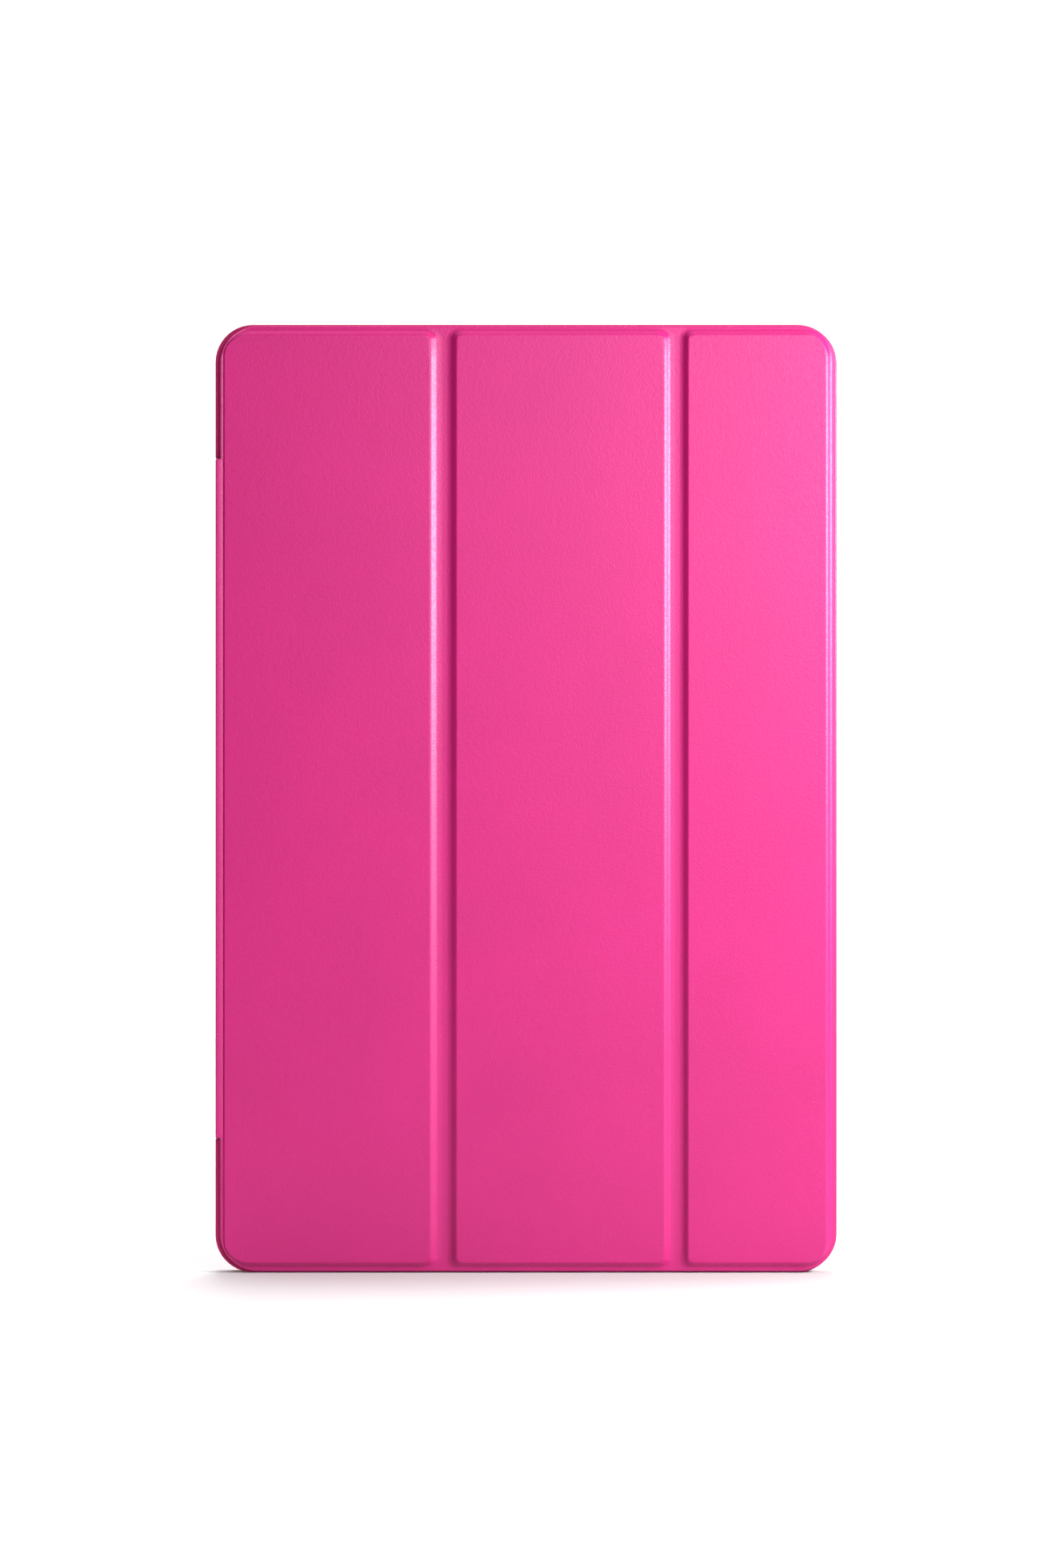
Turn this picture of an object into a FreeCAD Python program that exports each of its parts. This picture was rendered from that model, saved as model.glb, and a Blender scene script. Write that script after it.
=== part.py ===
import FreeCAD, Part
import math
import operator
import os

import Sketcher

# Tablet case: a tri-fold leather-covered cover joined by a leather spine band to a hard back shell.
# The case stands upright and closed. +Z is up the long side and +X goes from the spine to the free edge.
# The cover faces -Y and the back shell faces +Y. The origin is in the middle of the bottom edge.
# Every sketch lies on its body's XZ plane unless it says otherwise, so depth counts towards the cover (-Y).

DIMENSIONS = {
    "case_height": 257.0,
    "case_width": 168.5,
    "case_depth": 11.6,
    "corner_radius": 10.2,
    # cover, layer by layer from outside to inside
    "leather": 0.6,
    "cover_board": 1.2,
    "cover_suede": 0.4,
    "cover_gap": 0.3,
    # cover, from the spine to the free edge
    "cover_setback": 1.35,
    "fold_one_place": 61.85,
    "fold_one_groove": 7.5,
    "fold_two_place": 124.95,
    "fold_two_groove": 6.9,
    "fold_strip": 3.5,
    "field_round": 1.0,
    "spine_rim": 0.3,
    "free_rim": 2.1,
    "end_rim": 1.5,
    "field_corner": 2.6,
    "board_slack": 0.2,
    "suede_inset": 0.8,
    # spine band, centred on the long side
    "band_length": 184.0,
    "rear_bend": 2.3,
    "stiffener": 0.5,
    "thin_suede": 0.3,
    "stiffener_inset": 0.5,
    # back shell
    "shell_width": 168.2,
    "plate": 1.5,
    "wall": 1.3,
    "lip_depth": 0.9,
    "lip_reach": 1.0,
    "lip_run": 34.0,
    "mouth_corner": 1.0,
    "back_round": 2.4,
    "band_slack": 0.4,
    "bend_slack": 0.1,
    "flap_length": 22.0,
    "flap_corner": 4.0,
    "adhesive": 0.1,
    "adhesive_inset": 1.0,
    "tray_suede_inset": 1.2,
    # cut-outs of the back shell
    "camera_width": 14.0,
    "camera_height": 32.0,
    "camera_side_margin": 10.0,
    "camera_top_margin": 9.0,
    "slot_height": 4.8,
    "slot_depth_from_back": 2.6,
    "volume_slot": 40.0,
    "volume_slot_low_end": 190.0,
    "power_slot": 18.0,
    "power_slot_low_end": 138.0,
    "port_slot": 13.0,
    "speaker_slot": 24.0,
    "speaker_slot_height": 2.2,
    "speaker_place": 34.0,
    # steel and magnets inside the boards
    "steel_thick": 0.5,
    "steel_width": 12.0,
    "steel_length": 190.0,
    "magnet_thick": 0.8,
    "magnet_width": 4.0,
    "magnet_length": 18.0,
    "magnet_count": 6,
    "magnet_pitch": 38.0,
    "magnet_edge": 6.0,
    "sleep_magnet_size": 7.0,
    "sleep_magnet_edge": 20.0,
    "sleep_magnet_low_end": 30.0,
}

OPERATIONS = {"+": operator.add, "-": operator.sub, "*": operator.mul, "/": operator.truediv}
FRONT_TO_BACK = "XZ_Plane"
UPWARD = "XY_Plane"
SIDEWAYS = "YZ_Plane"
# Radius of a slot's rounded ends, as a share of the slot's height. A full half would leave no straight end.
SLOT_END = 0.45


class Size:
    """A length with its formula over the sheet and its present value."""

    def __init__(self, formula, value):
        self.formula = formula
        self.value = value

    def __add__(self, other):
        return combined(self, "+", other)

    def __sub__(self, other):
        return combined(self, "-", other)

    def __mul__(self, other):
        return combined(self, "*", other)

    def __truediv__(self, other):
        return combined(self, "/", other)

    def __neg__(self):
        return combined(0, "-", self)


def as_size(number):
    return number if isinstance(number, Size) else Size(str(number), float(number))


def combined(left, sign, right):
    left, right = as_size(left), as_size(right)
    formula = f"({left.formula} {sign} {right.formula})"
    return Size(formula, OPERATIONS[sign](left.value, right.value))


def fill_sheet(doc):
    sheet = doc.addObject("Spreadsheet::Sheet", "dims")
    sizes = {}
    for row, (alias, number) in enumerate(DIMENSIONS.items(), start=1):
        sheet.set(f"A{row}", alias)
        sheet.set(f"B{row}", str(number))
        sheet.setAlias(f"B{row}", alias)
        sizes[alias] = Size(f"dims.{alias}", float(number))
    doc.recompute()
    return sizes


def bind(thing, name, size):
    thing.setExpression(name, as_size(size).formula)


def place(thing, x, y, z):
    for axis, size in zip("xyz", (x, y, z)):
        bind(thing, f".Placement.Base.{axis}", size)


def new_body(doc, label, x, y, z):
    body = doc.addObject("PartDesign::Body", label)
    body.Label = label
    place(body, x, y, z)
    return body


def constrain(sketch, constraint, name, size):
    index = sketch.addConstraint(constraint)
    sketch.renameConstraint(index, name)
    bind(sketch, f"Constraints.{name}", size)


def rectangle_edges(width, height, radii):
    """Edges of a rectangle anticlockwise from its bottom edge, with an arc where a corner has a radius."""
    corners = [(width, 0.0), (width, height), (0.0, height), (0.0, 0.0)]
    ways = [(1, 0), (0, 1), (-1, 0), (0, -1)]
    edges = []
    start = FreeCAD.Vector(radii[3], 0, 0)
    for turn, (corner, way, radius) in enumerate(zip(corners, ways, radii)):
        following = ways[(turn + 1) % len(ways)]
        corner = FreeCAD.Vector(*corner)
        before = corner - FreeCAD.Vector(*way) * radius
        after = corner + FreeCAD.Vector(*following) * radius
        edges.append(Part.LineSegment(start, before))
        if radius:
            centre = before + FreeCAD.Vector(*following) * radius
            circle = Part.Circle(centre, FreeCAD.Vector(0, 0, 1), radius)
            first = math.radians(-90 + 90 * turn)
            edges.append(Part.ArcOfCircle(circle, first, first + math.pi / 2))
        start = after
    return edges


def outline(body, name, width, height, radii=(0, 0), inset=(0, 0), depth=0, plane=FRONT_TO_BACK):
    """A rectangle whose low corner is at inset; radii are those of its low-x and of its high-x corners."""
    width, height, low, high = (as_size(size) for size in (width, height, *radii))
    sketch = body.newObject("Sketcher::SketchObject", name)
    support = next(item for item in body.Origin.OriginFeatures if item.Role == plane)
    sketch.AttachmentSupport = [(support, "")]
    sketch.MapMode = "FlatFace"
    for axis, size in zip("xyz", (*inset, depth)):
        bind(sketch, f".AttachmentOffset.Base.{axis}", size)
    corner_sizes = (high, high, low, low)
    edges = rectangle_edges(width.value, height.value, [size.value for size in corner_sizes])
    sketch.addGeometry(edges, False)
    straight = [index for index, edge in enumerate(edges) if isinstance(edge, Part.LineSegment)]
    for index in range(len(edges)):
        following = (index + 1) % len(edges)
        kind = "Coincident" if index in straight and following in straight else "Tangent"
        sketch.addConstraint(Sketcher.Constraint(kind, index, 2, following, 1))
    bottom, right, top, left = straight
    sketch.addConstraint(Sketcher.Constraint("Horizontal", bottom))
    sketch.addConstraint(Sketcher.Constraint("Horizontal", top))
    sketch.addConstraint(Sketcher.Constraint("Vertical", right))
    sketch.addConstraint(Sketcher.Constraint("Vertical", left))
    sketch.addConstraint(Sketcher.Constraint("PointOnObject", bottom, 1, -1))
    sketch.addConstraint(Sketcher.Constraint("PointOnObject", left, 1, -2))
    constrain(sketch, Sketcher.Constraint("DistanceX", left, 1, right, 1, width.value), "width", width)
    constrain(sketch, Sketcher.Constraint("DistanceY", bottom, 1, top, 1, height.value), "height", height)
    arcs = [index for index in range(len(edges)) if index not in straight]
    rounded = [size for size in corner_sizes if size.value]
    for number, (index, size) in enumerate(zip(arcs, rounded)):
        constrain(sketch, Sketcher.Constraint("Radius", index, size.value), f"corner_{number}", size)
    return sketch


def pad(body, name, sketch, length):
    feature = body.newObject("PartDesign::Pad", name)
    feature.Profile = sketch
    bind(feature, "Length", length)
    sketch.Visibility = False
    body.Document.recompute()
    return feature


def pocket(body, name, sketch, length):
    """Cuts along the sketch's own normal: towards the cover, upwards, or towards the free edge."""
    before = body.Shape.Volume
    feature = body.newObject("PartDesign::Pocket", name)
    feature.Profile = sketch
    feature.Reversed = True
    bind(feature, "Length", length)
    body.Document.recompute()
    if body.Shape.Volume >= before:
        raise RuntimeError(f"{body.Label}: {name} cuts nothing")
    return feature


def round_over(body, name, base, radius, depth):
    """Rounds every edge of base that lies in the plane at depth."""
    flat = [
        f"Edge{number}"
        for number, edge in enumerate(base.Shape.Edges, start=1)
        if abs(edge.BoundBox.YMin + depth.value) < 1e-6 and abs(edge.BoundBox.YMax + depth.value) < 1e-6
    ]
    fillet = body.newObject("PartDesign::Fillet", name)
    fillet.Base = (base, flat)
    bind(fillet, "Radius", radius)
    body.Document.recompute()
    return fillet


def build_slab(doc, label, corner, width, height, thickness, radii=(0, 0)):
    """A flat sheet: corner is its low-x, back and bottom corner, and it grows towards the cover."""
    body = new_body(doc, label, *corner)
    pad(body, f"{label}_pad", outline(body, f"{label}_outline", width, height, radii), thickness)
    return body


def build_panel(doc, dims, name, left, right, edges, rims, radii, inserts=()):
    """Leather skin, stiff board and suede lining of one cover panel.

    edges are how far the suede stops short of the panel's low-x and high-x edges, rims how far the raised
    field does, and radii are the panel's corner radii. Inserts are (inset x, inset z, width, height, depth)
    of the recesses that the board has on its lining side, measured from the panel's low corner.
    """
    inner_face = dims["leather"] + dims["cover_board"] - dims["case_depth"] / 2
    width, height = right - left, dims["case_height"]
    field_radii = [radius - dims["field_corner"] if radius else dims["field_corner"] for radius in radii]

    skin = new_body(doc, f"{name}_skin", left, inner_face, 0)
    sheet = outline(skin, f"{name}_sheet_outline", width, height, radii)
    pad(skin, f"{name}_sheet", sheet, dims["leather"])
    field = outline(
        skin,
        f"{name}_field_outline",
        width - rims[0] - rims[1],
        height - dims["end_rim"] * 2,
        field_radii,
        (rims[0], dims["end_rim"]),
        dims["leather"],
    )
    raised = pad(skin, f"{name}_field", field, dims["cover_board"])
    face_depth = dims["leather"] + dims["cover_board"]
    round_over(skin, f"{name}_field_round", raised, dims["field_round"], face_depth)
    edge_wall = dims["leather"] + dims["board_slack"]
    board_corner = (rims[0] + edge_wall, dims["end_rim"] + edge_wall)
    board_width = width - rims[0] - rims[1] - edge_wall * 2
    board_height = height - board_corner[1] * 2
    board_radii = [radius - edge_wall for radius in field_radii]
    hollow = outline(skin, f"{name}_hollow", board_width, board_height, board_radii, board_corner)
    pocket(skin, f"{name}_board_space", hollow, dims["cover_board"])

    board = build_slab(
        doc,
        f"{name}_board",
        (left + board_corner[0], inner_face, board_corner[1]),
        board_width,
        board_height,
        dims["cover_board"],
        board_radii,
    )
    for number, (inset_x, inset_z, insert_width, insert_height, depth) in enumerate(inserts):
        inset = (inset_x - board_corner[0], inset_z - board_corner[1])
        recess = outline(board, f"{name}_recess_{number}", insert_width, insert_height, inset=inset)
        pocket(board, f"{name}_recess_cut_{number}", recess, depth)

    inset = dims["suede_inset"]
    suede_radii = [radius - inset if radius else 0 for radius in radii]
    build_slab(
        doc,
        f"{name}_lining",
        (left + edges[0], inner_face + dims["cover_suede"], inset),
        width - edges[0] - edges[1],
        height - inset * 2,
        dims["cover_suede"],
        suede_radii,
    )


def build_fold(doc, dims, name, centre):
    """The thin strip of leather and suede between two cover panels."""
    inner_face = dims["leather"] + dims["cover_board"] - dims["case_depth"] / 2
    left = centre - dims["fold_strip"] / 2
    corner = (left, inner_face, 0)
    build_slab(doc, f"{name}_skin", corner, dims["fold_strip"], dims["case_height"], dims["leather"])
    corner = (left, inner_face + dims["cover_suede"], dims["suede_inset"])
    height = dims["case_height"] - dims["suede_inset"] * 2
    build_slab(doc, f"{name}_lining", corner, dims["fold_strip"], height, dims["cover_suede"])


def build_bend(doc, dims, label, centre, outer, thickness, quarter):
    """A quarter-round strip along the band; quarter is the angle at which its arc begins."""
    turned = []
    for part_name, radius in (("outer", outer), ("inner", outer - thickness)):
        cylinder = doc.addObject("Part::Cylinder", f"{label}_{part_name}")
        cylinder.Angle = 90
        bind(cylinder, "Radius", radius)
        bind(cylinder, "Height", dims["band_length"])
        turned.append(cylinder)
    strip = doc.addObject("Part::Cut", label)
    strip.Base, strip.Tool = turned
    strip.Label = label
    strip.Placement.Rotation = FreeCAD.Rotation(FreeCAD.Vector(0, 0, 1), quarter)
    place(strip, centre[0], centre[1], (dims["case_height"] - dims["band_length"]) / 2)
    doc.recompute()


def build_spine(doc, dims):
    """The band down the middle of the spine side, and its two bends: one to the cover, one to the shell."""
    outer_x = -(dims["case_width"] / 2)
    low_end = (dims["case_height"] - dims["band_length"]) / 2
    front_centre = (outer_x + dims["cover_setback"], dims["cover_setback"] - rim_depth(dims))
    rear_centre = (outer_x + dims["rear_bend"], dims["case_depth"] / 2 - dims["rear_bend"])
    skin_thickness = dims["leather"] + dims["stiffener"]
    depth = rear_centre[1] - front_centre[1]

    skin = build_slab(
        doc,
        "spine_skin",
        (outer_x, rear_centre[1], low_end),
        skin_thickness,
        dims["band_length"],
        depth,
    )
    inset = dims["stiffener_inset"]
    stiffener_size = (dims["stiffener"], dims["band_length"] - inset * 2)
    hollow = outline(skin, "spine_hollow", *stiffener_size, inset=(dims["leather"], inset), depth=inset)
    pocket(skin, "spine_stiffener_space", hollow, depth - inset * 2)
    build_slab(
        doc,
        "spine_stiffener",
        (outer_x + dims["leather"], rear_centre[1] - inset, low_end + inset),
        *stiffener_size,
        depth - inset * 2,
    )
    build_slab(
        doc,
        "spine_lining",
        (outer_x + skin_thickness, rear_centre[1], low_end),
        dims["thin_suede"],
        dims["band_length"],
        depth,
    )
    for name, centre, outer, quarter in (
        ("front_fold", front_centre, dims["cover_setback"], 180),
        ("rear_fold", rear_centre, dims["rear_bend"], 90),
    ):
        build_bend(doc, dims, f"{name}_skin", centre, outer, dims["leather"], quarter)
        inside = outer - dims["leather"]
        build_bend(doc, dims, f"{name}_lining", centre, inside, dims["thin_suede"], quarter)


def rim_depth(dims):
    """How far in front of the mid-plane the leather lies along the rims and in the grooves."""
    return dims["case_depth"] / 2 - dims["cover_board"]


def build_shell(doc, dims):
    """The hard tray with its corner lips, cut-outs and the recess for the glued flap."""
    left, back = -(dims["case_width"] / 2), dims["case_depth"] / 2
    width, height = dims["shell_width"], dims["case_height"]
    cover_inside = back - dims["leather"] - dims["cover_board"] - dims["cover_suede"]
    depth = back + cover_inside - dims["cover_gap"]
    shell = new_body(doc, "back_shell", left, back, 0)
    radius = dims["corner_radius"]
    block = pad(shell, "block", outline(shell, "block_outline", width, height, (radius, radius)), depth)
    round_over(shell, "back_edge_round", block, dims["back_round"], as_size(0))

    wall, lip = dims["wall"], dims["lip_reach"]
    inner_width, inner_height, inner_radius = width - wall * 2, height - wall * 2, radius - wall
    bay = outline(
        shell, "bay", inner_width, inner_height, (inner_radius, inner_radius), (wall, wall), dims["plate"]
    )
    lip_underside = depth - dims["lip_depth"]
    pocket(shell, "bay_cut", bay, lip_underside - dims["plate"])
    run = dims["lip_run"]
    mouths = (
        ("mouth_inside_lips", wall + lip, wall + lip, inner_radius - lip),
        ("mouth_long_sides", wall, run, dims["mouth_corner"]),
        ("mouth_short_sides", run, wall, dims["mouth_corner"]),
    )
    for name, inset_x, inset_z, corner in mouths:
        size = (width - inset_x * 2, height - inset_z * 2)
        mouth = outline(shell, name, *size, (corner, corner), (inset_x, inset_z), lip_underside)
        pocket(shell, f"{name}_cut", mouth, dims["lip_depth"])

    slack = dims["band_slack"]
    gap_length = dims["band_length"] + slack * 2
    low_end = (height - gap_length) / 2
    gap_width = dims["rear_bend"] + dims["bend_slack"]
    gap = outline(shell, "band_gap", gap_width, gap_length, inset=(0, low_end))
    pocket(shell, "band_gap_cut", gap, depth)
    recess_width = dims["rear_bend"] + dims["flap_length"] + slack / 2
    corners = (0, dims["flap_corner"] + slack / 2)
    recess = outline(shell, "flap_recess", recess_width, gap_length, corners, (0, low_end))
    pocket(shell, "flap_recess_cut", recess, dims["leather"] + dims["adhesive"])

    cut_camera_window(shell, dims, (0, 0), dims["plate"])

    tall, near_back = dims["slot_height"], dims["slot_depth_from_back"]
    inset = (-near_back - tall, dims["volume_slot_low_end"])
    size = (tall, dims["volume_slot"])
    ends = (tall * SLOT_END, tall * SLOT_END)
    slot = outline(shell, "volume_slot", *size, ends, inset, width - wall * 1.5, SIDEWAYS)
    pocket(shell, "volume_slot_cut", slot, wall * 2)
    top = height - wall * 1.5
    slot = outline(
        shell,
        "power_slot",
        dims["power_slot"],
        tall,
        ends,
        (dims["power_slot_low_end"], -near_back - tall),
        top,
        UPWARD,
    )
    pocket(shell, "power_slot_cut", slot, wall * 2)
    size = (dims["port_slot"], tall)
    slot = outline(shell, "port", *size, ends, ((width - size[0]) / 2, -near_back - tall), 0, UPWARD)
    pocket(shell, "port_cut", slot, wall * 1.5)

    low, long = dims["speaker_slot_height"], dims["speaker_slot"]
    ends = (low * SLOT_END, low * SLOT_END)
    across = -near_back - (tall + low) / 2
    for edge_name, start in (("bottom", as_size(0)), ("top", top)):
        sides = (("low", dims["speaker_place"]), ("high", width - dims["speaker_place"] - long))
        for side_name, place_x in sides:
            name = f"speaker_{edge_name}_{side_name}"
            slot = outline(shell, name, long, low, ends, (place_x, across), start, UPWARD)
            pocket(shell, f"{name}_cut", slot, wall * 1.5)

    inset = wall + dims["tray_suede_inset"]
    corner = radius - inset
    lining = build_slab(
        doc,
        "shell_lining",
        (left + inset, back - dims["plate"], inset),
        width - inset * 2,
        height - inset * 2,
        dims["thin_suede"],
        (corner, corner),
    )
    cut_camera_window(lining, dims, (inset, inset), dims["thin_suede"])

    low_end = (height - dims["band_length"]) / 2
    flap_corner = (left + dims["rear_bend"], back, low_end)
    flap_size = (dims["flap_length"], dims["band_length"])
    build_slab(doc, "back_flap", flap_corner, *flap_size, dims["leather"], (0, dims["flap_corner"]))
    glue_inset = dims["adhesive_inset"]
    build_slab(
        doc,
        "flap_adhesive",
        (flap_corner[0] + glue_inset, back - dims["leather"], low_end + glue_inset),
        dims["flap_length"] - glue_inset * 2,
        dims["band_length"] - glue_inset * 2,
        dims["adhesive"],
        (0, dims["flap_corner"] - glue_inset),
    )


def cut_camera_window(body, dims, inset, depth):
    width, height = dims["camera_width"], dims["camera_height"]
    x = dims["shell_width"] - dims["camera_side_margin"] - width - inset[0]
    z = dims["case_height"] - dims["camera_top_margin"] - height - inset[1]
    corners = (width * SLOT_END, width * SLOT_END)
    window = outline(body, f"{body.Label}_camera_window", width, height, corners, (x, z))
    pocket(body, f"{body.Label}_camera_window_cut", window, depth)


def build_box(doc, name, corner, size):
    box = doc.addObject("Part::Box", name)
    for side, length in zip(("Length", "Width", "Height"), size):
        bind(box, side, length)
    place(box, *corner)
    return box


def build_cover(doc, dims):
    """Three panels and two folds, with the steel strip and the magnets that lie in the panels' boards."""
    cover_left = dims["cover_setback"] - dims["case_width"] / 2
    spine_side = -(dims["case_width"] / 2)
    free_edge = dims["case_width"] / 2
    fold_one = spine_side + dims["fold_one_place"]
    fold_two = spine_side + dims["fold_two_place"]
    half_strip = dims["fold_strip"] / 2
    grooves = ("fold_one_groove", "fold_two_groove")
    groove_rims = [dims[groove] / 2 - half_strip - dims["field_round"] for groove in grooves]
    radius, inset = dims["corner_radius"], dims["suede_inset"]
    height = dims["case_height"]

    steel_inset = (dims["fold_one_place"] - dims["cover_setback"] - dims["steel_width"]) / 2
    steel_low = (height - dims["steel_length"]) / 2
    steel = (steel_inset, steel_low, dims["steel_width"], dims["steel_length"], dims["steel_thick"])
    build_panel(
        doc,
        dims,
        "panel_1",
        cover_left,
        fold_one - half_strip,
        (inset, 0),
        (dims["spine_rim"], groove_rims[0]),
        (radius, 0),
        [steel],
    )
    build_panel(
        doc, dims, "panel_2", fold_one + half_strip, fold_two - half_strip, (0, 0), groove_rims, (0, 0)
    )

    panel_left = fold_two + half_strip
    panel_width = free_edge - panel_left
    magnet_row = dims["magnet_pitch"] * (DIMENSIONS["magnet_count"] - 1) + dims["magnet_length"]
    magnet_x = panel_width - dims["magnet_edge"] - dims["magnet_width"]
    magnet_size = (dims["magnet_width"], dims["magnet_length"], dims["magnet_thick"])
    first_z = (height - magnet_row) / 2
    rows = [first_z + dims["magnet_pitch"] * number for number in range(DIMENSIONS["magnet_count"])]
    magnets = [(magnet_x, row, *magnet_size) for row in rows]
    sleep_size = dims["sleep_magnet_size"]
    sleep_x = panel_width - dims["sleep_magnet_edge"] - sleep_size
    sleep = (sleep_x, dims["sleep_magnet_low_end"], sleep_size, sleep_size, dims["magnet_thick"])
    build_panel(
        doc,
        dims,
        "panel_3",
        panel_left,
        free_edge,
        (0, inset),
        (groove_rims[1], dims["free_rim"]),
        (0, radius),
        [*magnets, sleep],
    )
    build_fold(doc, dims, "fold_1", fold_one)
    build_fold(doc, dims, "fold_2", fold_two)

    inner_face = dims["leather"] + dims["cover_board"] - dims["case_depth"] / 2
    build_slab(
        doc,
        "stand_steel_strip",
        (cover_left + steel[0], inner_face, steel[1]),
        steel[2],
        steel[3],
        steel[4],
    )
    row_y = inner_face - dims["magnet_thick"]
    bars = [
        build_box(
            doc,
            f"closure_magnet_{number}",
            (panel_left + inset_x, row_y, inset_z),
            (width, thickness, length),
        )
        for number, (inset_x, inset_z, width, length, thickness) in enumerate(magnets)
    ]
    group = doc.addObject("Part::Compound", "closure_magnets")
    group.Label = "closure_magnets"
    group.Links = bars
    build_slab(
        doc,
        "sleep_magnet",
        (panel_left + sleep[0], inner_face, sleep[1]),
        sleep[2],
        sleep[3],
        sleep[4],
    )


def sub_parts(doc):
    """The pieces of the case: everything that no other shape in the document is built from."""
    pieces = [item for item in doc.Objects if item.isDerivedFrom("PartDesign::Body")]
    pieces += [item for item in doc.Objects if item.TypeId in ("Part::Cut", "Part::Compound")]
    return pieces


def check_and_write(doc):
    doc.recompute()
    for item in doc.Objects:
        if {"Invalid", "Error"} & set(item.State):
            raise RuntimeError(f"{item.Label} failed: {item.State}")
    for piece in sub_parts(doc):
        if piece.Shape.isNull() or not piece.Shape.isValid() or not piece.Shape.Solids:
            raise RuntimeError(f"{piece.Label} has no valid solid")
    os.makedirs("parts", exist_ok=True)
    for piece in sub_parts(doc):
        piece.Shape.exportStep(f"parts/{piece.Label}.step")
        box = piece.Shape.BoundBox
        span = (
            f"x {box.XMin:.2f} {box.XMax:.2f}  y {box.YMin:.2f} {box.YMax:.2f}"
            f"  z {box.ZMin:.2f} {box.ZMax:.2f}"
        )
        print(f"{piece.Label:20} {len(piece.Shape.Solids)} solid  {piece.Shape.Volume:10.1f} mm3  {span}")


def main():
    doc = FreeCAD.newDocument("tablet_case")
    dims = fill_sheet(doc)
    build_shell(doc, dims)
    build_spine(doc, dims)
    build_cover(doc, dims)
    check_and_write(doc)


main()
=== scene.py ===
import math

import bpy
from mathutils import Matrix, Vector


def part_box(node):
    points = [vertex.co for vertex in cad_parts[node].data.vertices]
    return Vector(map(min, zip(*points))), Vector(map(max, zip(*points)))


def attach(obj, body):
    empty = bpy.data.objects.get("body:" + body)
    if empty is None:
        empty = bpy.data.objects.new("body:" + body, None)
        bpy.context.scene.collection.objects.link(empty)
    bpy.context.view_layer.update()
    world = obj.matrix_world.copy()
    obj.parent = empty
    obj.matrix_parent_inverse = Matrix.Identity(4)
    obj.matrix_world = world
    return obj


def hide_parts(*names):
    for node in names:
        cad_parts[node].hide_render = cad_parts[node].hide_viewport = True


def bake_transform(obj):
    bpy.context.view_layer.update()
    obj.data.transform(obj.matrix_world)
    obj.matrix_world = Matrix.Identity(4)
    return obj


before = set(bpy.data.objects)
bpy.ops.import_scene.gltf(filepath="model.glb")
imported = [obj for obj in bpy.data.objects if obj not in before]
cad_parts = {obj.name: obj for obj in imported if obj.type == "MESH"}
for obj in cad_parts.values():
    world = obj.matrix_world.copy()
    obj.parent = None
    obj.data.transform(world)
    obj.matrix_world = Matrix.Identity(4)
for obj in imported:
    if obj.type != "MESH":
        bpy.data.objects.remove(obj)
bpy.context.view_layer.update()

# The looks of a tablet case: its cover's pressed leather, the bends, the materials and the studio.
# Sizes are in millimetres, as in the design, and become metres where a mesh is made. The studio's own sizes
# are in metres.
MM = 0.001


def box(node):
    """A CAD node's lowest and highest corners in millimetres."""
    return [Vector(corner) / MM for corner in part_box(node)]


# ---------------------------------------------------------------- sizes read from the frame

PANEL_1, PANEL_3 = box("panel_1_skin"), box("panel_3_skin")
FOLDS = [box(f"fold_{number}_skin") for number in (1, 2)]
SPINE = box("spine_skin")
FRONT_BEND = box("front_fold_skin")
REAR_BEND = box("rear_fold_skin")
FRONT_LINING_BEND = box("front_fold_lining")
REAR_LINING_BEND = box("rear_fold_lining")

# Depths: the raised fields' face, the low rims' face, the leather's glued side and the boards' face.
FACE_Y = PANEL_1[0].y
RIM_Y = FOLDS[0][0].y
GLUE_Y = FOLDS[0][1].y
BOARD_Y = box("panel_1_board")[0].y
LEATHER = GLUE_Y - RIM_Y
FIELD_RISE = RIM_Y - FACE_Y

# The cover's leather stops short of the tray's ends, so that the tray's edge shows.
END_GAP = 0.4
LOW, HIGH = PANEL_1[0].z + END_GAP, PANEL_1[1].z - END_GAP
FOLD_CENTRES = [(low.x + high.x) / 2 for low, high in FOLDS]

# ---------------------------------------------------------------- shape of the pressed leather

# The cover's corner radius, and how far a raised field's own corner centre lies from the cover's edges.
CORNER = 10.2
FIELD_CENTRE = (7.5, 8.3)

# Width of the bevel from the cover's outer edge up to a field: at the ends, the free edge and the spine.
END_BEVEL = 2.6
FREE_BEVEL = 3.1
SPINE_BEVEL = 1.25

# A share says how far along a bevel a place lies: 0 at the outer edge, 1 where the field begins.
# The outer edge is rounded down over the first of these shares, by a drop in millimetres.
EDGE_SHARE, EDGE_DROP = 0.14, 0.35

# Part of the rise that spreads over the whole bevel, and the share from which the rest of it climbs.
GENTLE = 0.25
STEEP_FROM = 0.4

# The last share that is sampled, and one that lies well inside the flat field.
FLAT_SHARE = 1.4
FIELD_SHARE = FLAT_SHARE * 2

# Where the leather's inner side steps from the glue line onto the board: the share at which the step begins,
# its length, and how much later it comes on the spine side.
BOARD_FOOT, BOARD_WALL = 0.66, 0.06
SPINE_BOARD_SHIFT = 0.17

# Grooves: their half widths, the finely divided margin beside them, how much steeper the wall on the free
# edge's side is, the rounding of the fields' corners, in shares, and the seam's distance from the fold.
GROOVE_HALVES = (3.75, 3.45)
GROOVE_MARGIN = 0.4
STEEPER = 1.3
FIELD_CORNER = 1.45
SEAM_FROM_FOLD = 7.5

# How finely the leather is divided, and the angle from which an edge between two faces looks sharp.
ROWS = 40
BOTTOM_POINTS = 11
CORNER_STEPS = 16
GROOVE_POINTS = 57
SHARP_DEGREES = 40


def smooth(value):
    value = min(max(value, 0.0), 1.0)
    return value * value * (3 - 2 * value)


def spread(first, last, count):
    return [first + (last - first) * index / (count - 1) for index in range(count)]


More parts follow.
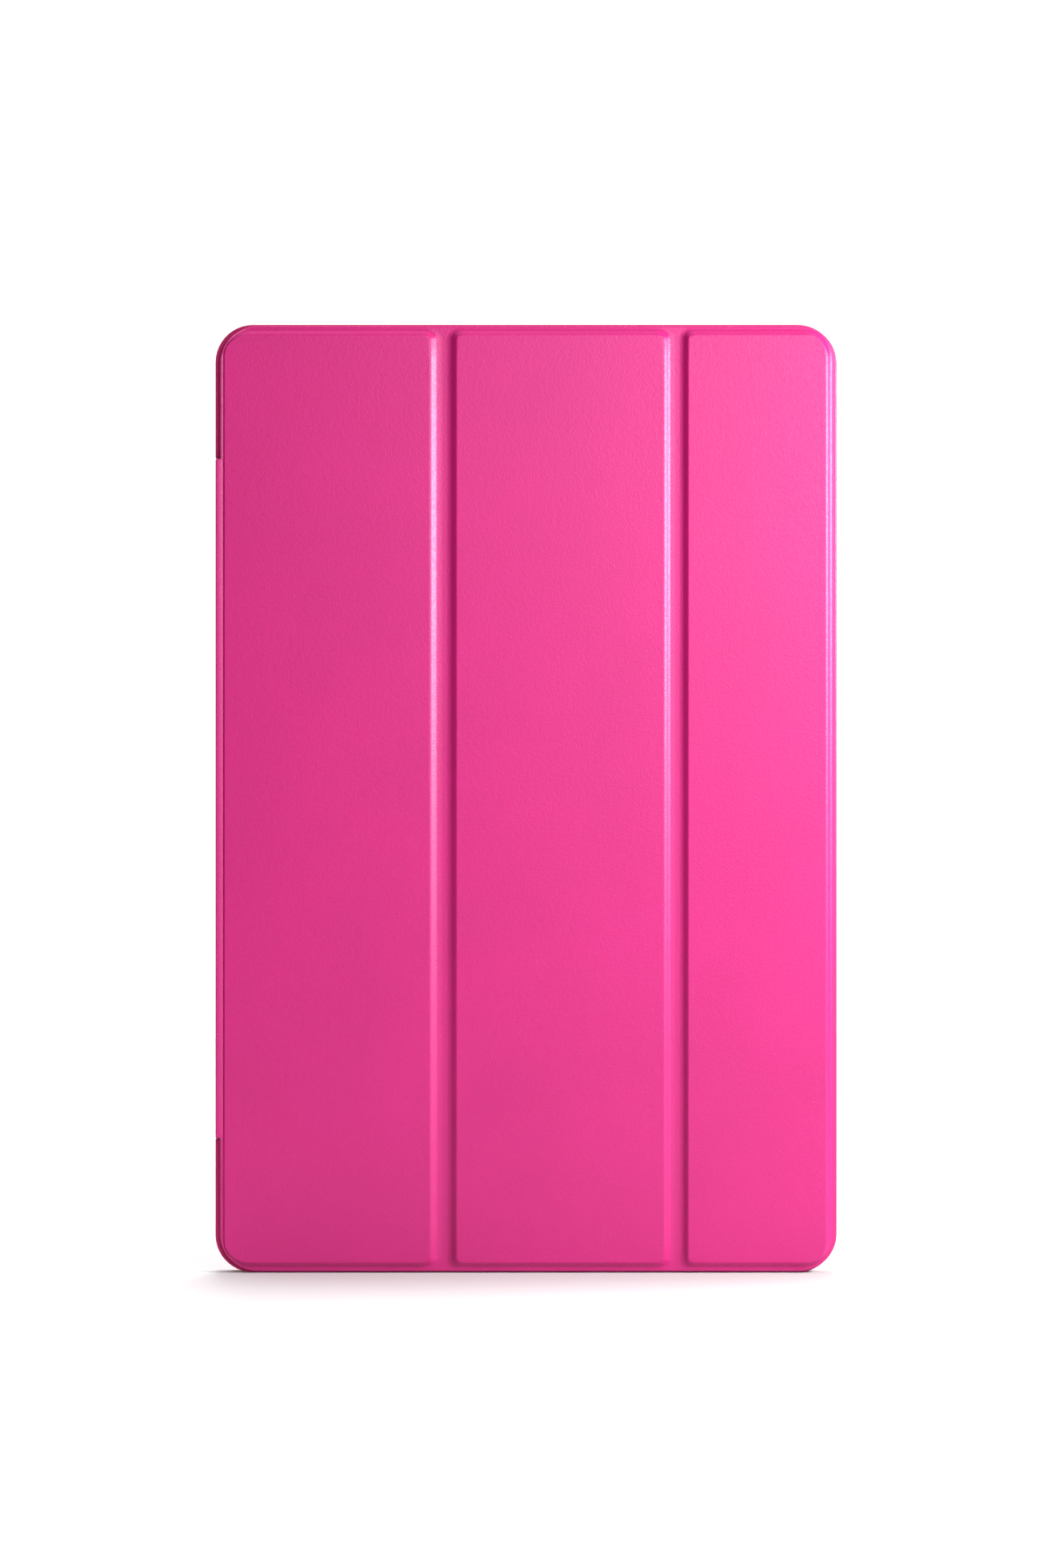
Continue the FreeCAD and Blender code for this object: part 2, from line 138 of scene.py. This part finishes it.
def rise(share):
    """How much of the field's height the leather has at a share of the way from foot to top edge."""
    return GENTLE * smooth(share) + (1 - GENTLE) * smooth((share - STEEP_FROM) / (1 - STEEP_FROM))


def spine_rise(share):
    """The spine side's profile: a rounded rim falling to a narrow crease, then the step up to the field."""
    rim, crease = 0.85, 0.66
    rounding = 0.22
    fall_from, fall_length = 0.4, 0.34
    step_from, step_length = 0.74, 0.26
    edge = math.sqrt(1 - max(1 - share / rounding, 0) ** 2)
    fall = (rim - crease) * smooth((share - fall_from) / fall_length)
    step = (1 - crease) * smooth((share - step_from) / step_length)
    return rim * edge - fall + step


def edge_drop(share):
    """How far the leather's outer edge is rounded down, in millimetres."""
    if share >= EDGE_SHARE:
        return 0.0
    along = 1 - share / EDGE_SHARE
    return EDGE_DROP * (1 - math.sqrt(1 - along * along))


def bevel_shares():
    """Shares at which the bevel is sampled, from the outer edge to the flat field."""
    rounding = [EDGE_SHARE * (1 - math.cos(math.radians(angle))) for angle in range(0, 90, 15)]
    slope = spread(EDGE_SHARE, 1.0, 22)
    past_slope = [1.06, 1.15, FLAT_SHARE]
    return [*rounding, *slope, *past_slope]


SHARES = bevel_shares()


# ---------------------------------------------------------------- mesh making


def make_piece(name, points, faces):
    """A visible piece, smooth except where two faces meet at more than the sharp angle."""
    mesh = bpy.data.meshes.new(name)
    mesh.from_pydata([tuple(value * MM for value in point) for point in points], [], faces)
    mesh.validate()
    mesh.shade_smooth()
    mesh.set_sharp_from_angle(angle=math.radians(SHARP_DEGREES))
    piece = bpy.data.objects.new(name, mesh)
    bpy.context.collection.objects.link(piece)
    return piece


def closed_sheet(name, outer, inner, faces):
    """A sheet with thickness: outer and inner points share one set of faces; walls close its open edges."""
    count = len(outer)
    used = {(face[index - 1], face[index]) for face in faces for index in range(len(face))}
    walls = [(end, start, start + count, end + count) for start, end in used if (end, start) not in used]
    backs = [tuple(index + count for index in reversed(face)) for face in faces]
    return make_piece(name, [*outer, *inner], [*faces, *backs, *sorted(walls)])


def grid_faces(columns, rows, first=0):
    """Faces of a grid whose points run column by column; with columns along +X and rows up they face -Y."""
    faces = []
    for column in range(columns - 1):
        for row in range(rows - 1):
            corner = first + column * rows + row
            faces.append((corner, corner + rows, corner + rows + 1, corner + 1))
    return faces


def flipped(faces):
    return [tuple(reversed(face)) for face in faces]


# ---------------------------------------------------------------- leather of the cover


def row_places():
    """Height and bevel share of every row from the bottom edge to the top edge."""
    low = [(LOW + share * END_BEVEL, share) for share in SHARES]
    middle = [(row, FIELD_SHARE) for row in spread(LOW + CORNER, HIGH - CORNER, ROWS)]
    high = [(HIGH - share * END_BEVEL, share) for share in reversed(SHARES)]
    return [*low, *middle, *high]


def corner_share(across, along):
    """Share of the way up a field's bevel near a groove's end, where the field's corner is rounded."""
    over_x, over_z = FIELD_CORNER - across, FIELD_CORNER - along
    beyond = math.hypot(max(over_x, 0), max(over_z, 0)) + min(max(over_x, over_z), 0)
    return FIELD_CORNER - beyond


def leather_depths(share, level, drop, foot=BOARD_FOOT):
    """Depth of the leather's outer and inner face where the bevel has that share and rise."""
    outer = RIM_Y - FIELD_RISE * level + drop
    under = smooth((share - foot) / BOARD_WALL)
    return outer, GLUE_Y + (BOARD_Y - GLUE_Y) * under


def leather_grid(name, places, across_share):
    """Cover leather between two upright seams; across_share gives the share of the bevel at each place."""
    rows = row_places()
    outer, inner = [], []
    for x in places:
        for z, along in rows:
            share = corner_share(across_share(x), along)
            front, back = leather_depths(share, rise(share), edge_drop(along))
            outer.append((x, front, z))
            inner.append((x, back, z))
    return closed_sheet(name, outer, inner, grid_faces(len(places), len(rows)))


def end_contours(seam, edge, bevel):
    """Nested outlines of a panel that has rounded corners on one side and a straight seam on the other.

    Each outline runs from the seam along the bottom, round the corner, up the side and back along the top.
    An outline is a list of (x, z, side weight); the weight says how far the side's profile counts there.
    """
    side = 1 if seam > edge else -1
    weight_gain, weight_lag = 1.3, 0.2
    along = spread(seam, edge + side * CORNER, BOTTOM_POINTS)
    angles = [math.radians(90 - 90 * step / CORNER_STEPS) for step in range(1, CORNER_STEPS)]
    outlines = []
    for share in SHARES:
        inset_x, inset_z = share * bevel, share * END_BEVEL
        tighter = min(share, 1.0)
        centre_x = CORNER + (FIELD_CENTRE[0] - CORNER) * tighter
        centre_z = CORNER + (FIELD_CENTRE[1] - CORNER) * tighter
        shift = CORNER - centre_x
        line = [seam + (x - seam) * (1 + shift / abs(along[-1] - seam)) for x in along]
        low = [(x, LOW + inset_z, 0.0) for x in line]
        low += [
            (
                edge + side * (centre_x - (centre_x - inset_x) * math.cos(angle)),
                LOW + centre_z - (centre_z - inset_z) * math.sin(angle),
                smooth(math.cos(angle) * weight_gain - weight_lag),
            )
            for angle in angles
        ]
        rows = spread(LOW + centre_z, HIGH - centre_z, ROWS)
        upright = [(edge + side * inset_x, row, 1.0) for row in rows]
        high = [(x, LOW + HIGH - z, weight) for x, z, weight in reversed(low)]
        outlines.append([*low, *upright, *high])
    return outlines


def end_field_faces(inner, length, side, first):
    """Faces across a panel end's flat field: a grid, joined to the innermost outline all the way round.

    inner is the index of that outline's first point, length its number of points, side how many points come
    before its upright stretch, and first the index of the grid's first point.
    """
    grid = [[first + column * ROWS + row for row in range(ROWS)] for column in range(BOTTOM_POINTS)]
    faces = grid_faces(BOTTOM_POINTS, ROWS, first)
    last = inner + length - 1
    for column in range(BOTTOM_POINTS - 1):
        low, high = inner + column, last - column
        faces.append((low, low + 1, grid[column + 1][0], grid[column][0]))
        faces.append((high - 1, high, grid[column][-1], grid[column + 1][-1]))
    corner_start, side_start = inner + BOTTOM_POINTS - 1, inner + side
    faces.append((*range(corner_start, side_start + 1), grid[-1][0]))
    for row in range(ROWS - 1):
        start = side_start + row
        faces.append((start, start + 1, grid[-1][row + 1], grid[-1][row]))
    side_end, corner_end = side_start + ROWS - 1, last - BOTTOM_POINTS + 1
    faces.append((*range(side_end, corner_end + 1), grid[-1][-1]))
    return faces


def end_panel_plan(seam, edge, bevel):
    """Points (x, z, share, side weight) and faces of a panel end, filled in across its flat field."""
    outlines = end_contours(seam, edge, bevel)
    length = len(outlines[0])
    points = [(x, z, share, weight) for share, line in zip(SHARES, outlines) for x, z, weight in line]
    faces = []
    for ring in range(len(outlines) - 1):
        for step in range(length - 1):
            start = ring * length + step
            faces.append((start, start + 1, start + length + 1, start + length))
    innermost = outlines[-1]
    side = (length - ROWS) // 2
    faces += end_field_faces(len(points) - length, length, side, len(points))
    columns = [x for x, z, weight in innermost[:BOTTOM_POINTS]]
    rows = [z for x, z, weight in innermost[side : side + ROWS]]
    points += [(x, z, FIELD_SHARE, 0.0) for x in columns for z in rows]
    return points, faces if seam < edge else flipped(faces)


def leather_end(name, seam, edge, bevel, side_rise, board_shift=0.0):
    """Cover leather from an upright seam to the cover's spine side or free edge.

    side_rise is the profile along that side, and board_shift moves the step onto the board there.
    """
    plan, faces = end_panel_plan(seam, edge, bevel)
    outer, inner = [], []
    for x, z, share, weight in plan:
        level = rise(share) * (1 - weight) + side_rise(share) * weight
        foot = BOARD_FOOT + board_shift * weight
        front, back = leather_depths(share, level, edge_drop(share), foot)
        outer.append((x, front, z))
        inner.append((x, back, z))
    return closed_sheet(name, outer, inner, faces)


def groove_share(offset, half):
    """Share of the way out of a groove; its wall on the free edge's side is the steeper one."""
    share = abs(offset) / half
    return share if offset < 0 else max(1 - STEEPER * (1 - share), 0)


def fold_places(centre, half):
    """Places across a fold, close together in the groove and wide apart on the flat fields."""
    groove = spread(-half - GROOVE_MARGIN, half + GROOVE_MARGIN, GROOVE_POINTS)
    flat = (5.0, 6.2, SEAM_FROM_FOLD)
    offsets = [-place for place in reversed(flat)] + groove + list(flat)
    return [centre + offset for offset in offsets]


# ---------------------------------------------------------------- finishing pieces


def finish_piece(piece, material, body, *nodes):
    piece.data.materials.append(material)
    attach(piece, body)
    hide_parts(*nodes)


def finish_bend(piece, material, bodies, ends, *nodes, slot="cover_leather"):
    """Gives a piece its material, bakes its placement into its mesh and hides the CAD nodes it stands for.
    The two bodies and the ends, in millimetres, are not used.
    """
    piece.data.materials.append(material)
    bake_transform(piece)
    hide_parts(*nodes)


def finish_fold(piece, material, number, *nodes, slot="cover_leather"):
    """Gives a piece over one of the two folds between the cover's panels its material, bakes its placement
    and hides its CAD nodes.
    """
    low, high = FOLDS[number - 1]
    bodies = (f"panel_{number}", f"panel_{number + 1}")
    finish_bend(piece, material, bodies, ((low.x, GLUE_Y, 0), (high.x, GLUE_Y, 0)), *nodes, slot=slot)


# ---------------------------------------------------------------- leather and suede of the cover


def build_fold_leather(leather, number):
    centre, half = FOLD_CENTRES[number - 1], GROOVE_HALVES[number - 1]
    places = fold_places(centre, half)
    piece = leather_grid(f"fold_{number}_leather", places, lambda x: groove_share(x - centre, half))
    finish_fold(piece, leather, number, f"fold_{number}_skin")


def build_cover_leather(leather):
    seams = [centre + side * SEAM_FROM_FOLD for centre in FOLD_CENTRES for side in (-1, 1)]
    spine_side, free_edge = PANEL_1[0].x, PANEL_3[1].x
    panels = (
        leather_end("panel_1_leather", seams[0], spine_side, SPINE_BEVEL, spine_rise, SPINE_BOARD_SHIFT),
        leather_grid("panel_2_leather", spread(seams[1], seams[2], 10), lambda x: FIELD_SHARE),
        leather_end("panel_3_leather", seams[3], free_edge, FREE_BEVEL, rise),
    )
    for number, piece in enumerate(panels, start=1):
        finish_piece(piece, leather, f"panel_{number}", f"panel_{number}_skin")
    for number in (1, 2):
        build_fold_leather(leather, number)


def build_fold_suede(suede, number):
    low, high = box(f"fold_{number}_lining")
    end_row = 0.16
    places = spread(low.x, high.x, 15)
    rows = [low.z, *spread(low.z + end_row, high.z - end_row, 30), high.z]
    outer = [(x, low.y, z) for x in places for z in rows]
    inner = [(x, high.y, z) for x in places for z in rows]
    piece = closed_sheet(f"fold_{number}_suede", outer, inner, grid_faces(len(places), len(rows)))
    finish_fold(piece, suede, number, f"fold_{number}_lining", slot="suede_lining")


# ---------------------------------------------------------------- spine band


def arc(centre, radius, first, last, count):
    """Points of an arc and their outward directions, angles in degrees."""
    places = []
    for angle in spread(math.radians(first), math.radians(last), count):
        way = Vector((math.cos(angle), math.sin(angle)))
        places.append((Vector(centre) + way * radius, way))
    return places


def band_strip(name, line, thickness, low, high, end_round=0.22):
    """An upright strip along a line of (point, outward direction), with rounded ends at top and bottom.

    thickness is one number, or one for each point of the line.
    """
    end_margin, most_drop = 2, 0.6
    ends = [end_round * (1 - math.cos(math.radians(angle))) for angle in range(0, 108, 18)]
    rows = [(low + end, end) for end in ends]
    rows += [(row, end_round) for row in spread(low + end_margin, high - end_margin, 24)]
    rows += [(high - end, end) for end in reversed(ends)]
    if isinstance(thickness, (int, float)):
        thickness = [thickness] * len(line)
    outer, inner = [], []
    for (point, way), deep in zip(line, thickness):
        for z, along in rows:
            left = 1 - along / end_round
            drop = min(end_round * (1 - math.sqrt(max(1 - left * left, 0))), deep * most_drop)
            front, back = point - way * drop, point - way * deep
            outer.append((front.x, front.y, z))
            inner.append((back.x, back.y, z))
    return closed_sheet(name, outer, inner, flipped(grid_faces(len(line), len(rows))))


def straight(first, last, way, count):
    """Points from first to last, with one outward direction."""
    first, last, way = Vector(first), Vector(last), Vector(way)
    return [(first.lerp(last, share), way) for share in spread(0, 1, count)]


# Points of the front bend from the spine's face to the rim's crest, the last one included.
CREST_POINTS = 14


def front_bend_line():
    """From the spine's flat face over the bulging spine edge and down over panel 1's rim to its crease."""
    low, high = FRONT_BEND
    crest_inset, crest_depth = 0.4, 0.02
    crease_share, crease_level = 0.74, 0.7
    lean = 0.3
    crest = Vector((low.x + crest_inset, FACE_Y + crest_depth))
    crease = Vector((PANEL_1[0].x + SPINE_BEVEL * crease_share, RIM_Y - FIELD_RISE * crease_level))
    angles = spread(0, math.pi / 2, CREST_POINTS)
    line = []
    reach_x, reach_y = crest.x - low.x, high.y - crest.y
    for angle in angles:
        point = Vector((crest.x - reach_x * math.cos(angle), high.y - reach_y * math.sin(angle)))
        way = Vector((-math.cos(angle) * reach_y, -math.sin(angle) * reach_x))
        line.append((point, way.normalized()))
    reach_x, reach_y = crease.x - crest.x, crease.y - crest.y
    for angle in angles[1:]:
        point = Vector((crest.x + reach_x * math.sin(angle), crease.y - reach_y * math.cos(angle)))
        way = Vector((math.sin(angle) * reach_y, -math.cos(angle) * reach_x - lean))
        line.append((point, way.normalized()))
    return line


def front_bend_thickness(count):
    """Full thickness up to the rim's crest, then thinner towards the crease, where it lies on the panel."""
    thinnest, thinning = 0.04, 0.05
    past_crest = [max(index - CREST_POINTS + 1, 0) for index in range(count)]
    return [max(thinnest, LEATHER - thinning * steps) for steps in past_crest]


def build_spine_leather(leather):
    low, high = SPINE
    outside = low.x
    flat = straight((outside, REAR_BEND[0].y), (outside, FRONT_BEND[1].y), (-1, 0), 10)
    spine = band_strip("spine_leather", flat, LEATHER, low.z, high.z)
    finish_piece(spine, leather, "spine", "spine_skin")

    line = front_bend_line()
    front = band_strip("front_fold_leather", line, front_bend_thickness(len(line)), low.z, high.z)
    ends = ((outside, FRONT_BEND[1].y, 0), (FRONT_BEND[1].x, FRONT_BEND[0].y, 0))
    finish_bend(front, leather, ("spine", "panel_1"), ends, "front_fold_skin")

    bend_low, bend_high = REAR_BEND
    radius = bend_high.x - bend_low.x
    centre = (bend_high.x, bend_low.y)
    rear = band_strip("rear_fold_leather", arc(centre, radius, 90, 180, 16), LEATHER, low.z, high.z)
    ends = ((bend_high.x, bend_high.y, 0), (bend_low.x, bend_low.y, 0))
    finish_bend(rear, leather, ("shell", "spine"), ends, "rear_fold_skin")


def build_spine_suede(suede):
    low, high = SPINE
    lining_low, lining_high = box("spine_lining")
    thin = lining_high.x - lining_low.x
    end_round = 0.12

    bend_low, bend_high = FRONT_LINING_BEND
    line = arc((bend_high.x, bend_high.y), bend_high.x - bend_low.x, 180, 270, 12)
    front = band_strip("front_fold_suede", line, thin, low.z, high.z, end_round)
    ends = ((bend_low.x, bend_high.y, 0), (bend_high.x, bend_low.y, 0))
    finish_bend(front, suede, ("spine", "panel_1"), ends, "front_fold_lining", slot="suede_lining")

    bend_low, bend_high = REAR_LINING_BEND
    line = arc((bend_high.x, bend_low.y), bend_high.x - bend_low.x, 90, 180, 12)
    rear = band_strip("rear_fold_suede", line, thin, low.z, high.z, end_round)
    ends = ((bend_high.x, bend_high.y, 0), (bend_low.x, bend_low.y, 0))
    finish_bend(rear, suede, ("shell", "spine"), ends, "rear_fold_lining", slot="suede_lining")


# ---------------------------------------------------------------- materials


def new_material(name):
    material = bpy.data.materials.new(name)
    material.use_nodes = True
    return material, material.node_tree.nodes, material.node_tree.links


def noise(nodes, links, scale, detail=2.0, roughness=0.5):
    place = nodes.new("ShaderNodeTexCoord")
    texture = nodes.new("ShaderNodeTexNoise")
    texture.inputs["Scale"].default_value = scale
    texture.inputs["Detail"].default_value = detail
    texture.inputs["Roughness"].default_value = roughness
    links.new(place.outputs["Object"], texture.inputs["Vector"])
    return texture


def ramp(nodes, links, source, stops):
    """A colour ramp over stops of (place, colour)."""
    node = nodes.new("ShaderNodeValToRGB")
    elements = node.color_ramp.elements
    while len(elements) < len(stops):
        elements.new(0.5)
    for element, (place, colour) in zip(elements, stops):
        element.position = place
        element.color = (*colour, 1)
    links.new(source, node.inputs["Fac"])
    return node.outputs["Color"]


def bump(nodes, links, heights):
    """Bump nodes in a chain, one for each (height socket, strength, distance in metres)."""
    normal = None
    for height, strength, distance in heights:
        node = nodes.new("ShaderNodeBump")
        node.inputs["Strength"].default_value = strength
        node.inputs["Distance"].default_value = distance
        links.new(height, node.inputs["Height"])
        if normal is not None:
            links.new(normal, node.inputs["Normal"])
        normal = node.outputs["Normal"]
    return normal


def scaled(colour, share):
    return tuple(value * share for value in colour)


def leather_material():
    """Smooth synthetic leather: fine pores and a soft, even gloss with a faint tint."""
    colour = (0.44, 0.0058, 0.134)
    material, nodes, links = new_material("synthetic_leather")
    shader = nodes["Principled BSDF"]
    blotch = noise(nodes, links, 28, detail=3)
    stops = [(0.35, scaled(colour, 0.965)), (0.65, scaled(colour, 1.03))]
    tint = ramp(nodes, links, blotch.outputs["Fac"], stops)
    links.new(tint, shader.inputs["Base Color"])
    place = nodes.new("ShaderNodeTexCoord")
    pores = nodes.new("ShaderNodeTexVoronoi")
    pores.feature = "SMOOTH_F1"
    pores.inputs["Scale"].default_value = 2300
    pores.inputs["Smoothness"].default_value = 0.6
    links.new(place.outputs["Object"], pores.inputs["Vector"])
    grain = noise(nodes, links, 900, detail=3, roughness=0.6)
    gloss = ramp(nodes, links, grain.outputs["Fac"], [(0.3, (0.36,) * 3), (0.7, (0.43,) * 3)])
    links.new(gloss, shader.inputs["Roughness"])
    heights = [(grain.outputs["Fac"], 0.12, 0.0002), (pores.outputs["Distance"], 0.16, 0.00015)]
    links.new(bump(nodes, links, heights), shader.inputs["Normal"])
    shader.inputs["Specular IOR Level"].default_value = 0.52
    shader.inputs["Specular Tint"].default_value = (1, 0.86, 0.99, 1)
    return material


def suede_material():
    """Brushed microfibre: short nap with darker and lighter strokes."""
    colour = (0.44, 0.009, 0.125)
    material, nodes, links = new_material("microfibre_suede")
    shader = nodes["Principled BSDF"]
    strokes = noise(nodes, links, 170, detail=5, roughness=0.65)
    nap = noise(nodes, links, 3800, detail=2, roughness=0.7)
    stops = [(0.32, scaled(colour, 0.9)), (0.68, scaled(colour, 1.07))]
    tint = ramp(nodes, links, strokes.outputs["Fac"], stops)
    links.new(tint, shader.inputs["Base Color"])
    links.new(bump(nodes, links, [(nap.outputs["Fac"], 0.5, 0.0002)]), shader.inputs["Normal"])
    shader.inputs["Roughness"].default_value = 0.92
    shader.inputs["Specular IOR Level"].default_value = 0.2
    shader.inputs["Sheen Weight"].default_value = 0.45
    shader.inputs["Sheen Roughness"].default_value = 0.35
    return material


def shell_material():
    """Hard polycarbonate with a fine sparked surface."""
    colour = (0.50, 0.005, 0.12)
    material, nodes, links = new_material("matte_polycarbonate")
    shader = nodes["Principled BSDF"]
    spark = noise(nodes, links, 2600, detail=3, roughness=0.65)
    wear = noise(nodes, links, 18, detail=4)
    stops = [(0.35, scaled(colour, 0.97)), (0.7, scaled(colour, 1.03))]
    tint = ramp(nodes, links, wear.outputs["Fac"], stops)
    links.new(tint, shader.inputs["Base Color"])
    gloss = ramp(nodes, links, wear.outputs["Fac"], [(0.3, (0.42,) * 3), (0.7, (0.5,) * 3)])
    links.new(gloss, shader.inputs["Roughness"])
    links.new(bump(nodes, links, [(spark.outputs["Fac"], 0.2, 0.0001)]), shader.inputs["Normal"])
    shader.inputs["Specular IOR Level"].default_value = 0.3
    return material


def board_material():
    colour = (0.42, 0.36, 0.28)
    material, nodes, links = new_material("pressed_board")
    shader = nodes["Principled BSDF"]
    fibre = noise(nodes, links, 900, detail=5, roughness=0.7)
    stops = [(0.3, scaled(colour, 0.75)), (0.7, scaled(colour, 1.15))]
    tint = ramp(nodes, links, fibre.outputs["Fac"], stops)
    links.new(tint, shader.inputs["Base Color"])
    links.new(bump(nodes, links, [(fibre.outputs["Fac"], 0.4, 0.0002)]), shader.inputs["Normal"])
    shader.inputs["Roughness"].default_value = 0.85
    return material


def metal_material(name, colour, rough):
    material, nodes, links = new_material(name)
    shader = nodes["Principled BSDF"]
    scuff = noise(nodes, links, 700, detail=4, roughness=0.6)
    stops = [(0.3, (rough * 0.8,) * 3), (0.7, (rough * 1.25,) * 3)]
    gloss = ramp(nodes, links, scuff.outputs["Fac"], stops)
    links.new(gloss, shader.inputs["Roughness"])
    tint = ramp(nodes, links, scuff.outputs["Fac"], [(0.3, scaled(colour, 0.93)), (0.7, colour)])
    links.new(tint, shader.inputs["Base Color"])
    shader.inputs["Metallic"].default_value = 1.0
    return material


def adhesive_material():
    colour = (0.78, 0.74, 0.62)
    material, nodes, links = new_material("adhesive_film")
    shader = nodes["Principled BSDF"]
    smear = noise(nodes, links, 120, detail=3)
    tint = ramp(nodes, links, smear.outputs["Fac"], [(0.3, scaled(colour, 0.92)), (0.7, colour)])
    links.new(tint, shader.inputs["Base Color"])
    shader.inputs["Roughness"].default_value = 0.35
    return material


def floor_material():
    material, nodes, links = new_material("pale_floor")
    shader = nodes["Principled BSDF"]
    cloud = noise(nodes, links, 3, detail=2)
    tint = ramp(nodes, links, cloud.outputs["Fac"], [(0.3, (0.54, 0.54, 0.54)), (0.7, (0.56, 0.56, 0.56))])
    links.new(tint, shader.inputs["Base Color"])
    shader.inputs["Roughness"].default_value = 0.7
    shader.inputs["Specular IOR Level"].default_value = 0.1
    return material


def paint_node(material, *names, bevel=0.0):
    """Gives CAD nodes that stay on show their material, and breaks their sharp edges where bevel says."""
    for name in names:
        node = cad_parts[name]
        node.data.materials.clear()
        node.data.materials.append(material)
        if bevel:
            modifier = node.modifiers.new("broken_edges", "BEVEL")
            modifier.width = bevel * MM
            modifier.segments = 3
            modifier.limit_method = "ANGLE"
            modifier.angle_limit = math.radians(35)


# ---------------------------------------------------------------- studio


def aimed(thing, target):
    way = Vector(target) - thing.location
    thing.rotation_euler = way.to_track_quat("-Z", "Y").to_euler()


def soft_light(name, place, target, size, power):
    """A round area light that shines at its target; its size is in metres and its power in watts."""
    lamp = bpy.data.lights.new(name, "AREA")
    lamp.shape = "DISK"
    lamp.size = size
    lamp.energy = power
    light = bpy.data.objects.new(name, lamp)
    bpy.context.collection.objects.link(light)
    light.location = place
    light.visible_camera = False
    aimed(light, target)
    return light


def build_floor():
    """A round floor, mostly behind the object, a hair below it so that the two faces don't coincide."""
    count, radius, centre_y = 96, 1.0, 0.4
    turns = [math.tau * step / count for step in range(count)]
    ring = [(radius * math.cos(turn), centre_y + radius * math.sin(turn), 0) for turn in turns]
    mesh = bpy.data.meshes.new("floor")
    mesh.from_pydata(ring, [], [tuple(range(count))])
    mesh.materials.append(floor_material())
    floor = bpy.data.objects.new("floor", mesh)
    floor.location.z = -0.00002
    bpy.context.collection.objects.link(floor)


def level_by(nodes, links, source, span, levels):
    """A smooth change of level while the source goes over its span."""
    node = nodes.new("ShaderNodeMapRange")
    node.interpolation_type = "SMOOTHSTEP"
    node.inputs["From Min"].default_value, node.inputs["From Max"].default_value = span
    node.inputs["To Min"].default_value, node.inputs["To Max"].default_value = levels
    links.new(source, node.inputs["Value"])
    return node.outputs["Result"]


def math_node(nodes, links, operation, first, second):
    """Joins a socket with another socket or with a number."""
    node = nodes.new("ShaderNodeMath")
    node.operation = operation
    links.new(first, node.inputs[0])
    if isinstance(second, float):
        node.inputs[1].default_value = second
    else:
        links.new(second, node.inputs[1])
    return node.outputs["Value"]


def build_world():
    """A white studio, bright behind the object and overhead; its dim side still looks pale to the camera."""
    world = bpy.data.worlds.new("studio")
    bpy.context.scene.world = world
    world.use_nodes = True
    nodes, links = world.node_tree.nodes, world.node_tree.links
    place = nodes.new("ShaderNodeTexCoord")
    split = nodes.new("ShaderNodeSeparateXYZ")
    links.new(place.outputs["Generated"], split.inputs["Vector"])
    behind = level_by(nodes, links, split.outputs["Y"], (0.0, 0.45), (0.1, 1.3))
    above = level_by(nodes, links, split.outputs["Z"], (0.5, 0.95), (0.0, 1.0))
    light = math_node(nodes, links, "MAXIMUM", behind, above)
    camera_ray = nodes.new("ShaderNodeLightPath").outputs["Is Camera Ray"]
    seen = math_node(nodes, links, "MULTIPLY", camera_ray, 0.8)
    background = nodes["Background"]
    background.inputs["Color"].default_value = (1, 1, 1, 1)
    links.new(math_node(nodes, links, "MAXIMUM", light, seen), background.inputs["Strength"])


def build_camera():
    """Straight on from the front, framed so that the case stands a little right of and below the middle."""
    view_height, distance = 0.4246, 1.5
    view_x, view_z = -0.00094, 0.13245
    camera = bpy.data.objects.new("camera", bpy.data.cameras.new("camera"))
    bpy.context.collection.objects.link(camera)
    camera.data.lens = camera.data.sensor_width * distance / view_height
    camera.data.clip_start = 0.05
    camera.data.clip_end = 50
    camera.location = (view_x, FACE_Y * MM - distance, view_z)
    camera.rotation_euler = (math.pi / 2, 0, 0)
    bpy.context.scene.camera = camera


def build_studio():
    build_floor()
    build_world()
    build_camera()
    soft_light("key", (0.36, -0.20, 0.24), (0.0, 0, 0.15), 0.18, 3.5)
    soft_light("front", (0.25, -0.9, 0.35), (0.05, 0, 0.16), 0.3, 3.6)
    top = soft_light("top", (0, 0.2, 1.2), (0, 0.2, 0), 0.35, 9.5)
    rear_top = soft_light("rear_top", (0, 1.05, 1.2), (0, 1.05, 0), 0.6, 18)
    for light in (top, rear_top):
        light.visible_glossy = False
    scene = bpy.context.scene
    scene.view_settings.view_transform = "Standard"
    scene.view_settings.look = "None"


# ---------------------------------------------------------------- the case


def build_case():
    leather = leather_material()
    suede = suede_material()
    build_cover_leather(leather)
    build_spine_leather(leather)
    build_spine_suede(suede)
    paint_node(leather, "back_flap", bevel=0.2)
    paint_node(suede, "shell_lining", "spine_lining", "panel_1_lining", "panel_2_lining", "panel_3_lining")
    for number in (1, 2):
        build_fold_suede(suede, number)
    paint_node(shell_material(), "back_shell", bevel=0.25)
    paint_node(board_material(), "panel_1_board", "panel_2_board", "panel_3_board", "spine_stiffener")
    paint_node(metal_material("strip_steel", (0.56, 0.57, 0.58), 0.34), "stand_steel_strip")
    paint_node(metal_material("nickel_plating", (0.70, 0.69, 0.67), 0.22), "closure_magnets", "sleep_magnet")
    paint_node(adhesive_material(), "flap_adhesive")


build_case()
build_studio()

bpy.context.view_layer.update()
